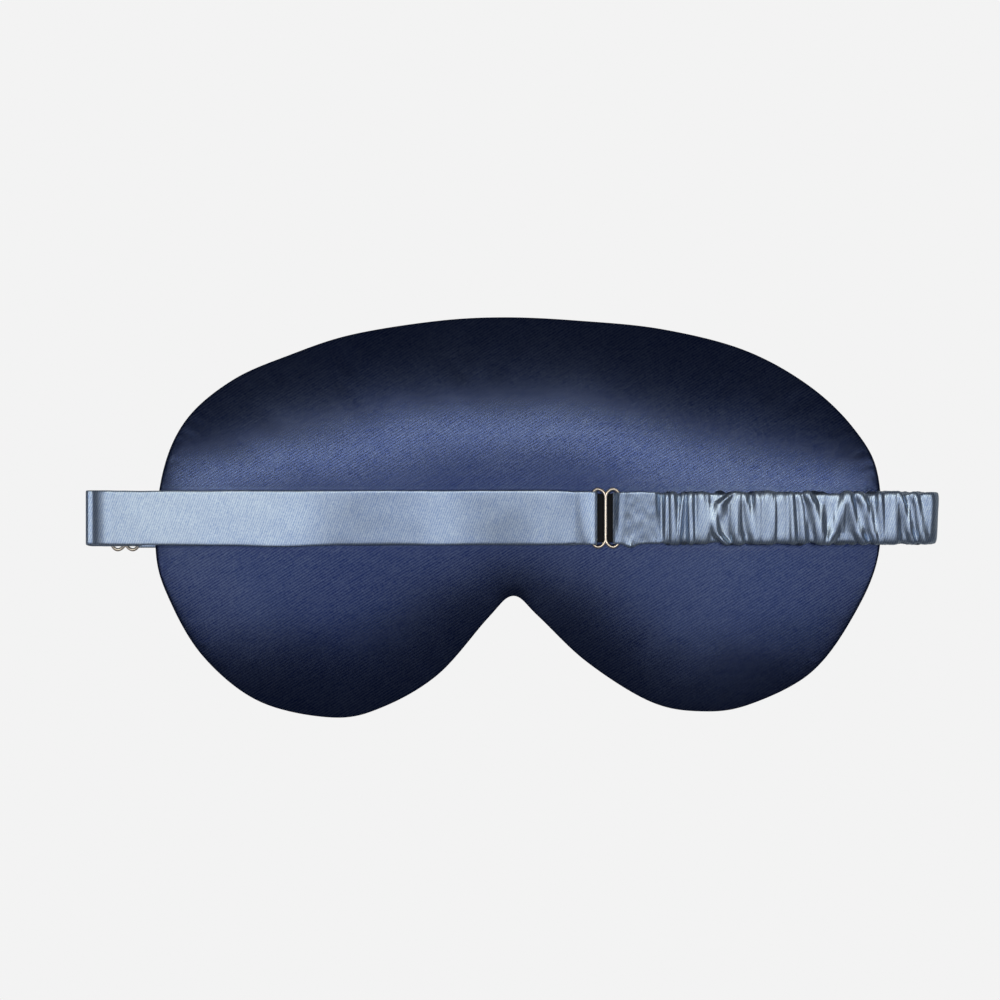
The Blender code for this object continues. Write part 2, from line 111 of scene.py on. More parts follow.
# ---- small helpers -------------------------------------------------------------------------------
def smooth_points(points, steps, closed=False):
    """Return points along a Catmull-Rom curve through the given points."""
    pts = np.array(points, float)
    count = len(pts)
    result = []
    for span in range(count if closed else count - 1):
        index = [span - 1, span, span + 1, span + 2]
        index = [i % count for i in index] if closed else [min(max(i, 0), count - 1) for i in index]
        a, b, c, d = pts[index]
        for step in range(steps):
            t = step / steps
            square = (2 * a - 5 * b + 4 * c - d) * t ** 2
            cube = (3 * b - a - 3 * c + d) * t ** 3
            result.append((2 * b + (c - a) * t + square + cube) / 2)
    if not closed:
        result.append(pts[-1])
    return np.array(result)


def even_points(points, pitch):
    """Return points a given pitch apart along a line of points."""
    pts = np.array(points, float)
    lengths = lengths_along(pts)
    count = max(2, int(round(lengths[-1] / pitch)) + 1)
    places = np.linspace(0, lengths[-1], count)
    return np.column_stack([np.interp(places, lengths, pts[:, axis]) for axis in range(pts.shape[1])])


def arc(centre_x, centre_z, radius, start, end, steps):
    """Return points of an arc in the XZ plane, from one angle to another in degrees."""
    angles = np.radians(np.linspace(start, end, steps + 1))
    return [(centre_x + radius * math.cos(a), centre_z + radius * math.sin(a)) for a in angles]


def ease(t):
    """Return a smooth step from 0 to 1."""
    t = np.clip(t, 0, 1)
    return t * t * (3 - 2 * t)


def bump_at(x, centre, width):
    """Return a soft bump of height 1 about a centre."""
    return np.exp(-(((x - centre) / width) ** 2))


def soft_noise(x, y, z=0.0):
    """Return smooth noise between about -1 and 1 at a point in millimetres."""
    return noise.noise(Vector((x, y, z)))


def make_object(name, verts, faces, material, sharp=()):
    """Return a smooth-shaded mesh object; verts are in millimetres, sharp holds flat face numbers."""
    mesh = bpy.data.meshes.new(name)
    mesh.from_pydata([tuple(v) for v in np.array(verts) * MM], [], faces)
    mesh.polygons.foreach_set("use_smooth", [index not in sharp for index in range(len(faces))])
    mesh.materials.append(material)
    item = bpy.data.objects.new(name, mesh)
    bpy.context.scene.collection.objects.link(item)
    if sharp:
        rim = {key for index in sharp for key in mesh.polygons[index].edge_keys}
        for edge in mesh.edges:
            edge.use_edge_sharp = edge.key in rim
    mesh.update()
    return item


def tube_object(name, rings, material):
    """Return a tube through closed rings of equal length, with flat ends."""
    count = len(rings[0])
    verts = [point for ring in rings for point in ring]
    faces = []
    for ring in range(len(rings) - 1):
        for step in range(count):
            after = (step + 1) % count
            low, high = ring * count, (ring + 1) * count
            faces.append((low + step, high + step, high + after, low + after))
    ends = {len(faces), len(faces) + 1}
    faces.append(tuple(range(count)))
    faces.append(tuple(reversed(range((len(rings) - 1) * count, len(rings) * count))))
    return make_object(name, verts, faces, material, ends)


def line_length(path):
    """Return the length of a line of points."""
    return float(np.linalg.norm(np.diff(path, axis=0), axis=1).sum())


def lengths_along(path):
    """Return the length from a line's start to each of its points."""
    return np.r_[0, np.cumsum(np.linalg.norm(np.diff(path, axis=0), axis=1))]


# ---- materials -----------------------------------------------------------------------------------
# Distance from one band of a wave texture to the next, at a scale of 1.
BAND_PERIOD = 0.31416
# How much a lighter or darker thread moves each of the cloth's red, green and blue.
GLINT_SHARES = (1.6, 1.3, 0.6)
SATIN_GLOSS = 0.4


class Nodes:
    """A short way to write a material's nodes."""

    def __init__(self, name):
        self.material = bpy.data.materials.new(name)
        self.material.use_nodes = True
        self.tree = self.material.node_tree
        self.shader = self.tree.nodes["Principled BSDF"]
        self.coords = self.add("ShaderNodeTexCoord").outputs["Object"]

    def add(self, kind, **settings):
        """Add a node, setting its properties and inputs."""
        node = self.tree.nodes.new(kind)
        for key, value in settings.items():
            if hasattr(node, key):
                setattr(node, key, value)
            else:
                node.inputs[key.replace("_", " ")].default_value = value
        return node

    def link(self, output, target):
        """Join an output to an input."""
        self.tree.links.new(output, target)

    def place(self, scale, turn=(0, 0, 0)):
        """Return the object's coordinates, turned and then stretched."""
        turned = self.add("ShaderNodeMapping", vector_type="POINT")
        turned.inputs["Rotation"].default_value = [math.radians(angle) for angle in turn]
        self.link(self.coords, turned.inputs["Vector"])
        stretched = self.add("ShaderNodeMapping", vector_type="POINT")
        stretched.inputs["Scale"].default_value = scale
        self.link(turned.outputs["Vector"], stretched.inputs["Vector"])
        return stretched.outputs["Vector"]

    def noise(self, vector, scale, detail=3.0, roughness=0.55):
        """Return the factor of a noise texture."""
        node = self.add("ShaderNodeTexNoise", Scale=scale, Detail=detail, Roughness=roughness)
        self.link(vector, node.inputs["Vector"])
        return node.outputs["Fac"]

    def wave(self, vector, scale, distortion=0.0, detail=2.0):
        """Return the factor of straight bands along X."""
        node = self.add("ShaderNodeTexWave", wave_profile="SIN", Scale=scale)
        node.inputs["Distortion"].default_value = distortion
        node.inputs["Detail"].default_value = detail
        node.inputs["Detail Scale"].default_value = 1.5
        self.link(vector, node.inputs["Vector"])
        return node.outputs["Fac"]

    def add_up(self, first, second):
        """Return the sum of two factors."""
        return self.math("ADD", first, second)

    def part(self, factor, share):
        """Return a share of a factor."""
        return self.math("MULTIPLY", factor, share)

    def math(self, operation, first, second):
        """Return the result of a math node on outputs or numbers."""
        node = self.add("ShaderNodeMath", operation=operation)
        for socket, value in zip(node.inputs, (first, second)):
            if isinstance(value, (int, float)):
                socket.default_value = value
            else:
                self.link(value, socket)
        return node.outputs["Value"]

    def ramp(self, factor, stops):
        """Return the colour of a ramp given as (position, colour) stops."""
        node = self.add("ShaderNodeValToRGB")
        elements = node.color_ramp.elements
        while len(elements) < len(stops):
            elements.new(0.5)
        for element, (position, colour) in zip(elements, stops):
            element.position = position
            element.color = (*colour, 1.0)
        self.link(factor, node.inputs["Fac"])
        return node.outputs["Color"]

    def scaled(self, factor, low, high):
        """Return a factor moved from 0..1 to low..high."""
        node = self.add("ShaderNodeMapRange")
        node.inputs["To Min"].default_value = low
        node.inputs["To Max"].default_value = high
        self.link(factor, node.inputs["Value"])
        return node.outputs["Result"]

    def bump(self, height, strength, distance):
        """Bump the shader's surface by a height."""
        node = self.add("ShaderNodeBump")
        node.inputs["Strength"].default_value = strength
        node.inputs["Distance"].default_value = distance
        self.link(height, node.inputs["Height"])
        self.link(node.outputs["Normal"], self.shader.inputs["Normal"])


def shade(colour, factor):
    """Return a colour made lighter or darker."""
    return tuple(channel * factor for channel in colour)


def glint(colour, change):
    """Return a cloth colour made lighter and paler, or darker and deeper."""
    return tuple(max(0.0, channel * (1 + change * share)) for channel, share in zip(colour, GLINT_SHARES))


def satin(name, colour, turn, pitch, roughness, metallic, depth, contrast):
    """Satin cloth: a fine slanted twill with slubs, on a surface that shines in the cloth's colour."""
    n = Nodes(name)
    rows = n.wave(n.place((1, 1, 1), (0, 0, turn)), BAND_PERIOD / (pitch * MM), 1.2, 2.0)
    threads = n.noise(n.place((2300, 260, 1200), (0, 0, turn)), 1.0, 2.0, 0.6)
    picks = n.noise(n.place((500, 2600, 1200), (0, 0, turn)), 1.0, 2.0, 0.6)
    grain = n.noise(n.coords, 1700.0, 2.0, 0.7)
    broad = n.noise(n.coords, 26.0, 3.0, 0.5)
    weave = n.add_up(n.part(rows, 0.20), n.part(threads, 0.25))
    weave = n.add_up(weave, n.part(picks, 0.15))
    weave = n.add_up(weave, n.part(grain, 0.40))
    tone = n.add_up(n.part(weave, 0.85), n.part(broad, 0.15))
    stops = [(0.36, glint(colour, -contrast)), (0.5, colour), (0.64, glint(colour, contrast))]
    n.link(n.ramp(tone, stops), n.shader.inputs["Base Color"])
    rough = n.add_up(n.scaled(broad, roughness - 0.02, roughness + 0.02), n.part(grain, 0.02))
    n.link(rough, n.shader.inputs["Roughness"])
    n.shader.inputs["Metallic"].default_value = metallic
    n.shader.inputs["Specular IOR Level"].default_value = SATIN_GLOSS
    n.bump(weave, 1.0, depth)
    return n.material


def wire_metal(name, colour):
    """Polished pale gold plating with faint drawing marks."""
    n = Nodes(name)
    marks = n.noise(n.place((600, 90, 600)), 1.0, 3.0)
    spots = n.noise(n.coords, 420.0, 2.0)
    tone = n.part(n.add_up(marks, spots), 0.5)
    stops = [(0.3, shade(colour, 0.9)), (0.6, colour), (0.8, shade(colour, 1.06))]
    n.link(n.ramp(tone, stops), n.shader.inputs["Base Color"])
    n.link(n.scaled(spots, 0.26, 0.36), n.shader.inputs["Roughness"])
    n.shader.inputs["Metallic"].default_value = 1.0
    n.bump(marks, 0.1, 0.00001)
    return n.material


def thread_cloth(name, colour):
    """Twisted sewing thread."""
    n = Nodes(name)
    twist = n.wave(n.place((1, 1, 1), (0, 0, 40)), 900.0, 0.5)
    fuzz = n.noise(n.coords, 3000.0, 2.0)
    tone = n.part(n.add_up(twist, fuzz), 0.5)
    stops = [(0.2, shade(colour, 0.6)), (0.5, colour), (0.8, shade(colour, 1.3))]
    n.link(n.ramp(tone, stops), n.shader.inputs["Base Color"])
    n.link(n.scaled(fuzz, 0.5, 0.75), n.shader.inputs["Roughness"])
    n.bump(tone, 0.6, 0.00006)
    return n.material


def plain_cloth(name, colour, scale, roughness):
    """A dull woven or felted cloth for the layers inside."""
    n = Nodes(name)
    warp = n.wave(n.place((1, 1, 1)), scale, 1.0)
    weft = n.wave(n.place((1, 1, 1), (0, 0, 90)), scale, 1.0)
    fuzz = n.noise(n.coords, scale * 2.0, 3.0)
    tone = n.part(n.add_up(n.add_up(warp, weft), fuzz), 0.333)
    stops = [(0.2, shade(colour, 0.8)), (0.5, colour), (0.8, shade(colour, 1.15))]
    n.link(n.ramp(tone, stops), n.shader.inputs["Base Color"])
    n.link(n.scaled(fuzz, roughness - 0.08, roughness + 0.04), n.shader.inputs["Roughness"])
    n.bump(tone, 0.5, 0.0002)
    return n.material


NAVY_SATIN = satin("navy_satin_weave", (0.040, 0.0575, 0.128), 58, 0.74, 0.24, 0.82, 0.00001, 0.56)
BLUE_SATIN = satin("blue_satin_weave", (0.395, 0.487, 0.615), 20, 0.64, 0.33, 0.84, 0.00001, 0.25)
GOLD = wire_metal("pale_gold", (1.0, 0.86, 0.68))
NAVY_THREAD = thread_cloth("navy_thread_twist", (0.03, 0.045, 0.12))
BLUE_THREAD = thread_cloth("blue_thread_twist", (0.20, 0.26, 0.36))
BLACKOUT = plain_cloth("blackout_weave", (0.012, 0.012, 0.014), 900.0, 0.9)
FIBRE = plain_cloth("fibre_mat", (0.80, 0.80, 0.78), 300.0, 0.95)
ELASTIC = plain_cloth("elastic_ribs", (0.72, 0.72, 0.70), 700.0, 0.85)


# ---- the padded mask -----------------------------------------------------------------------------
OUTLINE_PITCH = 1.5
OUTLINE = np.vstack([smooth_points(MASK_OUTLINE, 12, closed=True), MASK_OUTLINE[:1]])
OUTLINE = even_points(OUTLINE, OUTLINE_PITCH)[:-1]
RIM_STEPS = (0.35, 0.9, 1.8, 3.1)
GRID_PITCH = 2.3
# How far the pull of the seam reaches into the filling, and how much of the rise is skin, not lip.
FILL_REACH = 25.0
SKIN_SHARE = 0.96
LIP_REACH = 1.6
SEAM_HALF_GAP = 0.18
BACK_PRESSURE = 4.0
BACK_MOVE = 1.2
CLOTH_FRAMES = 20
FLOOR_GAP = 0.02
LAYER_SHARE = 0.94
UPPER_LAYER_DROP = 1.4
LOWER_LAYER_RISE = 1.6
LINING_DROP = 0.5
THREAD_INSET = 1.1
THREAD_RADIUS = 0.2
# The two turned-in edges: depth from the outline and half the height there.
RIDGE_PROFILE = [(0.1, 0.26), (0.6, 0.22), (3.0, 0.16), (5.0, 0.16)]
NOTCH = (-1.5, -22.0)
NOTCH_LIFT = 3.2
NOTCH_REACH = 22.0
RIGHT_LEAN = 0.035
LEFT_LEAN = 0.029


def edge_distance(points):
    """Return each point's distance from the mask's outline, in millimetres."""
    spans = np.roll(OUTLINE, -1, axis=0) - OUTLINE
    best = np.full(len(points), 1e9)
    for start, span in zip(OUTLINE, spans):
        along = np.clip(((points - start) @ span) / (span @ span), 0, 1)
        best = np.minimum(best, np.linalg.norm(points - start - along[:, None] * span, axis=1))
    return best


def is_inside(points):
    """Return which points lie within the mask's outline."""
    inside = np.zeros(len(points), bool)
    for a, b in zip(OUTLINE, np.roll(OUTLINE, -1, axis=0)):
        if a[1] == b[1]:
            continue
        crosses = (a[1] > points[:, 1]) != (b[1] > points[:, 1])
        reach = (b[0] - a[0]) * (points[:, 1] - a[1]) / (b[1] - a[1]) + a[0]
        inside ^= crosses & (points[:, 0] < reach)
    return inside


def inset(distance):
    """Return the mask's outline moved inwards."""
    along = np.roll(OUTLINE, -1, axis=0) - np.roll(OUTLINE, 1, axis=0)
    along /= np.linalg.norm(along, axis=1)[:, None]
    return OUTLINE + np.column_stack([-along[:, 1], along[:, 0]]) * distance


def notch_lift(flat):
    """Return how far the seam rises round the nose notch."""
    spread = ((flat - NOTCH) ** 2).sum(axis=1) / NOTCH_REACH ** 2
    return NOTCH_LIFT * np.exp(-spread)


def side_lean(flat):
    """Return how far a point goes up or down because the mask's ends lie slightly turned."""
    right = RIGHT_LEAN * ease((flat[:, 0] - 5.0) / 50.0)
    left = LEFT_LEAN * ease((-flat[:, 0] - 65.0) / 30.0)
    return -flat[:, 1] * (right + left)


def seam_level(flat):
    """Return the seam's height at flat points."""
    return SEAM_Z + notch_lift(flat) + side_lean(flat)


def panel_plan():
    """Return one side's flat points, rim first, its triangles and the points' distance from the rim."""
    rings = [OUTLINE] + [inset(step) for step in RIM_STEPS]
    low, high = OUTLINE.min(axis=0), OUTLINE.max(axis=0)
    rows = np.arange(low[1], high[1], GRID_PITCH * math.sqrt(0.75))
    grid = []
    for index, y in enumerate(rows):
        offset = GRID_PITCH / 2 if index % 2 else 0.0
        grid += [(x, y) for x in np.arange(low[0] + offset, high[0], GRID_PITCH)]
    grid = np.array(grid)
    grid = grid[is_inside(grid)]
    grid = grid[edge_distance(grid) > RIM_STEPS[-1] + 0.62 * GRID_PITCH]
    flat = np.vstack(rings + [grid])
    count = len(OUTLINE)
    edges = [(index, (index + 1) % count) for index in range(count)]
    plan = geometry.delaunay_2d_cdt([Vector(point) for point in flat], edges, [], 1, 1e-6)
    flat = np.array([tuple(point) for point in plan[0]])
    return flat, np.array([list(face) for face in plan[2]]), edge_distance(flat)


def membrane(flat, triangles, rim, reach):
    """Return the height of a skin held at its rim over a springy filling, 1 at its highest point."""
    heads, tails, weights = [], [], []
    area = np.zeros(len(flat))
    for corner in range(3):
        a, b, c = (triangles[:, (corner + step) % 3] for step in range(3))
        first, second = flat[a] - flat[c], flat[b] - flat[c]
        cross = np.abs(first[:, 0] * second[:, 1] - first[:, 1] * second[:, 0])
        weights.append(np.clip((first * second).sum(axis=1) / cross / 2, 0.02, 5))
        heads.append(a)
        tails.append(b)
        area += np.bincount(a, cross / 6, len(flat))
    heads, tails, weights = (np.concatenate(part) for part in (heads, tails, weights))

    def pull(height):
        flow = weights * (height[heads] - height[tails])
        total = np.bincount(heads, flow, len(flat)) - np.bincount(tails, flow, len(flat))
        total += area * height / reach ** 2
        return np.where(rim, 0.0, total)

    height = np.zeros(len(flat))
    left = np.where(rim, 0.0, area)
    step = left.copy()
    for _ in range(600):
        answer = pull(step)
        size = left @ left
        gain = size / (step @ answer)
        height += gain * step
        left = left - gain * answer
        if left @ left < 1e-12 * (area @ area):
            break
        step = left + (left @ left) / size * step
    return height / height.max()


def panel_object(name, points, triangles, upward, material):
    """Return one side of the mask as a mesh in its place."""
    faces = triangles if upward else triangles[:, ::-1]
    shifted = points + np.array((MASK_X, 0, 0))
    return make_object(name, shifted, [tuple(map(int, face)) for face in faces], material)


def mesh_points(mesh):
    """Return a mesh's points as an array."""
    values = np.empty(len(mesh.vertices) * 3)
    mesh.vertices.foreach_get("co", values)
    return values.reshape(-1, 3)


def inflate(item, pinned, pressure, cap):
    """Blow a skin up by cloth simulation, with its seam held and every point's move under the cap."""
    scene = bpy.context.scene
    before = mesh_points(item.data)
    item.vertex_groups.new(name="seam").add([int(index) for index in pinned], 1.0, "REPLACE")
    cloth = item.modifiers.new("cloth", "CLOTH")
    cloth.settings.quality = 8
    cloth.settings.mass = 0.15
    cloth.settings.tension_stiffness = 12
    cloth.settings.compression_stiffness = 12
    cloth.settings.shear_stiffness = 6
    cloth.settings.bending_stiffness = 0.4
    cloth.settings.use_pressure = True
    cloth.settings.uniform_pressure_force = pressure
    cloth.settings.vertex_group_mass = "seam"
    cloth.settings.effector_weights.gravity = 0
    cloth.point_cache.frame_start = 1
    cloth.point_cache.frame_end = CLOTH_FRAMES
    for number in range(1, CLOTH_FRAMES + 1):
        scene.frame_set(number)
    swollen = item.evaluated_get(bpy.context.evaluated_depsgraph_get()).to_mesh()
    moves = mesh_points(swollen) - before
    lengths = np.linalg.norm(moves, axis=1)
    moves *= (np.tanh(lengths / cap) * cap / np.maximum(lengths, 1e-9))[:, None]
    item.modifiers.remove(cloth)
    item.vertex_groups.clear()
    item.data.vertices.foreach_set("co", (before + moves).ravel())
    item.data.update()
    scene.frame_set(1)


def subdivide(item):
    """Apply one subdivision to an object."""
    item.modifiers.new("smooth", "SUBSURF").levels = 1
    mesh = bpy.data.meshes.new_from_object(item.evaluated_get(bpy.context.evaluated_depsgraph_get()))
    item.modifiers.clear()
    item.data = mesh
    mesh.polygons.foreach_set("use_smooth", [True] * len(mesh.polygons))


def build_mask():
    """Both satin panels, the seam between them, and the layers inside."""
    flat, triangles, distance = panel_plan()
    skin = membrane(flat, triangles, distance < 0.01, FILL_REACH)
    seam = np.nonzero(distance < 0.4)[0]
    seam_top = seam_level(flat) + SEAM_HALF_GAP
    seam_bottom = seam_level(flat) - SEAM_HALF_GAP
    near = np.clip(distance / LIP_REACH, 0, 1)
    lip = np.sqrt(near * (2 - near))
    wander = np.array([
        0.22 * soft_noise(x * 0.035, y * 0.035, 1.0) + 0.05 * soft_noise(x * 0.13, y * 0.13, 2.0)
        for x, y in flat
    ]) * np.clip(distance / 8.0, 0, 1)
    rise = (CROWN_Z - SEAM_Z - notch_lift(flat)) * (SKIN_SHARE * skin + (1 - SKIN_SHARE) * lip)
    top = np.column_stack([flat, seam_top + rise + wander])
    back = panel_object("back_panel_satin", top, triangles, True, NAVY_SATIN)
    inflate(back, seam, BACK_PRESSURE, BACK_MOVE * MM)
    subdivide(back)
    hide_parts("back_panel")
    drop = np.minimum(1.0, 1.25 * skin ** 0.62)
    under = np.column_stack([flat, seam_bottom - (seam_bottom - FLOOR_GAP) * drop])
    front = panel_object("front_panel_satin", under, triangles, False, NAVY_SATIN)
    subdivide(front)
    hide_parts("front_panel")
    small = OUTLINE_CENTRE + (flat - OUTLINE_CENTRE) * LAYER_SHARE
    within = np.clip(distance / 4.0, 0, 1)
    upper = np.column_stack([small, top[:, 2] - UPPER_LAYER_DROP * within])
    lower = np.column_stack([small, under[:, 2] + LOWER_LAYER_RISE * within])
    beneath = lower - np.array((0, 0, LINING_DROP))
    lining = panel_object("blackout_lining_cloth", beneath, triangles, False, BLACKOUT)
    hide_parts("blackout_lining")
    filling = filling_object(upper, lower, triangles)
    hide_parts("filling_pad")
    for item in (back, front, lining, filling):
        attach(item, "mask")
    ridge = seam_ridge()
    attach(ridge, "mask")
    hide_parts("seam_allowance")
    line = inset(THREAD_INSET)
    points = np.column_stack([line[:, 0] + MASK_X, line[:, 1], seam_level(line)])
    thread = wire_object("seam_thread_line", points, True, THREAD_RADIUS, NAVY_THREAD)
    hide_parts("seam_thread")
    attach(thread, "mask")


def filling_object(upper, lower, triangles):
    """The filling as one closed cushion between an upper and a lower side."""
    count = len(OUTLINE)
    verts = np.vstack([upper, lower]) + np.array((MASK_X, 0, 0))
    faces = [tuple(map(int, face)) for face in triangles]
    faces += [tuple(int(index) + len(upper) for index in face[::-1]) for face in triangles]
    for step in range(count):
        after = (step + 1) % count
        faces.append((after, step, step + len(upper), after + len(upper)))
    return make_object("filling_cushion", verts, faces, FIBRE)


def seam_ridge():
    """The two turned-in edges that meet in the seam, as a thin band set back between the panels."""
    profile = [(inset(depth), height) for depth, height in RIDGE_PROFILE]
    profile += [(ring, -height) for ring, height in reversed(profile)]
    count = len(OUTLINE)
    verts = []
    for ring, height in profile:
        verts += [(x + MASK_X, y, z + height) for (x, y), z in zip(ring, seam_level(ring))]
    faces = []
    for row in range(len(profile)):
        low, high = row * count, (row + 1) % len(profile) * count
        for step in range(count):
            after = (step + 1) % count
            faces.append((high + step, high + after, low + after, low + step))
    return make_object("seam_edge_cloth", verts, faces, NAVY_SATIN)


# ---- flat straps ---------------------------------------------------------------------------------
ARCH_END_Z = 9.0
ARCH_HALF_LENGTH = 124.0


def arch_z(x):
    """Return the height of the underside of the lowest ply over the mask, as the CAD lays it."""
    rise = inner_high.z - STRAP_THICKNESS - ARCH_END_Z
    return ARCH_END_Z + rise * (1 - (np.abs(x) / ARCH_HALF_LENGTH) ** 4)


def path_normals(path):
    """Return the direction across a path of (x, z) points, to the left of its travel."""
    along = np.gradient(path, axis=0)
    along /= np.linalg.norm(along, axis=1)[:, None]
    return np.column_stack([-along[:, 1], along[:, 0]])


BAND_PROFILE = [(-1.0, 0.0), (-0.992, 0.62), (-0.965, 0.94), (-0.90, 1.0)]


def band_profile(columns):
    """Return the closed cross-section of a folded satin strap, as (across, up) from -1 to 1."""
    middle = [(value, 1.0) for value in np.linspace(-0.8, 0.8, columns)]
    right = [(-across, up) for across, up in reversed(BAND_PROFILE)]
    top = BAND_PROFILE + middle + right
    bottom = [(across, -up) for across, up in reversed(top[1:-1])]
    return top + bottom


def band_rings(path, y_centre, width, thickness, lift=None, widen=None, columns=15):
    """Return the rings of a flat strap that follows a path, with its own waves and edges."""
    normals = path_normals(path)
    lengths = lengths_along(path)
    centres = y_centre if hasattr(y_centre, "__len__") else np.full(len(path), y_centre)
    widths = width if hasattr(width, "__len__") else np.full(len(path), width)
    rings = []
    for (x, z), normal, length, middle, wide in zip(path, normals, lengths, centres, widths):
        ring = []
        for across, up in band_profile(columns):
            half = wide / 2 + (widen(x, length, math.copysign(1, across)) if widen else 0.0)
            y = middle + across * half
            rise = up * thickness / 2 + (lift(x, length, across) if lift else 0.0)
            ring.append((x + normal[0] * rise, y, z + normal[1] * rise))
        rings.append(ring)
    return rings


def ply_points(start, end, ply):
    """Return the centre line of one ply laid over the mask."""
    xs = np.linspace(start, end, max(2, int(abs(end - start) / 0.8)))
    return [(x, arch_z(x) + STRAP_THICKNESS / 2 + ply * PLY_PITCH) for x in xs]


# The flat strap's gentle twist: place along it, lean in degrees, and how much more its upper half leans.
STRAP_TWIST = [
    (-118, 0.5, 0.0), (-96, 0.2, 0.0), (-62, -0.2, 0.0), (-57, -2.4, 0.7), (-53, -4.3, 0.8),
    (-48.5, -5.2, 0.6), (-44, -5.6, 0.0), (-40, -5.2, 0.0), (-31, -4.5, 0.1), (-27, -3.8, 0.5),
    (-22.4, -2.1, 0.2), (-18, -2.5, -0.6), (-13.7, -4.4, 0.0), (-9.3, -5.5, 0.4), (-5, -6.2, 1.1),
    (-0.6, -6.2, 1.1), (3.8, -5.6, 0.7), (8.2, -4.2, -0.3), (12.5, -4.3, 0.2), (16.5, -4.3, -1.4),
    (20.5, -5.4, 2.4), (24.0, -3.0, 1.0), (28.0, 0.0, 0.0),
]
TWIST_GAIN = 1.15
TWIST_CLEARANCE = 0.85
# The top ply's left fold, from its leftmost place: first from the lower leg's height, then from the top's.
FOLD_FROM_LEG = [(3.2, 0.15), (1.0, 1.0), (0.0, 2.0), (0.5, 3.0)]
FOLD_FROM_TOP = [(1.7, -1.55), (3.6, -0.7), (5.6, -0.1)]
UNDER_FOLD_SHIFT = 1.0
UNDER_PLY_INSET = 0.35
# How far each loop on the connector stands out from its bar, as a share of a round loop.
STRAP_LOOP = 1.42
TAB_LOOP = 1.75
LOOP_SQUARENESS = 0.55


def strap_waves(x, across):
    """Return how far the flat strap stands off its level run, from its twist."""
    places, leans, bows = zip(*STRAP_TWIST)
    lean = math.radians(np.interp(x, places, leans))
    bow = math.radians(np.interp(x, places, bows))
    half = STRAP_WIDTH / 2
    rise = -half * (lean * across + bow * (across * across / 2 - 0.17))
    rise *= TWIST_GAIN
    return rise + TWIST_CLEARANCE * half * abs(lean) + 0.05 * soft_noise(x * 0.16, across * 1.3, 3.0)


def bar_loop(bar_x, start, end, reach):
    """Return the points of a strap's loose loop round a bar: stretched along the strap, flatter on top."""
    points = []
    for x, z in arc(bar_x, CONNECTOR.z, WRAP_RADIUS, start, end, 14):
        height = z - CONNECTOR.z
        if height >= 0:
            height = (height / WRAP_RADIUS) ** LOOP_SQUARENESS * WRAP_RADIUS
        points.append((bar_x + (x - bar_x) * reach, height + CONNECTOR.z))
    return points


def blend_at(item):
    """Bake a piece's place into its mesh."""
    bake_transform(item)


def strap_edges(x, length, side):
    """Return the slight waviness of the flat strap's edges."""
    sag = 0.5 * bump_at(x, -69.0, 16.0) if side < 0 else 0.0
    long_wave = 0.16 * soft_noise(x * 0.07, side * 4.0, 9.0)
    return sag + long_wave + 0.05 * soft_noise(x * 0.3, side * 7.0, 2.0)


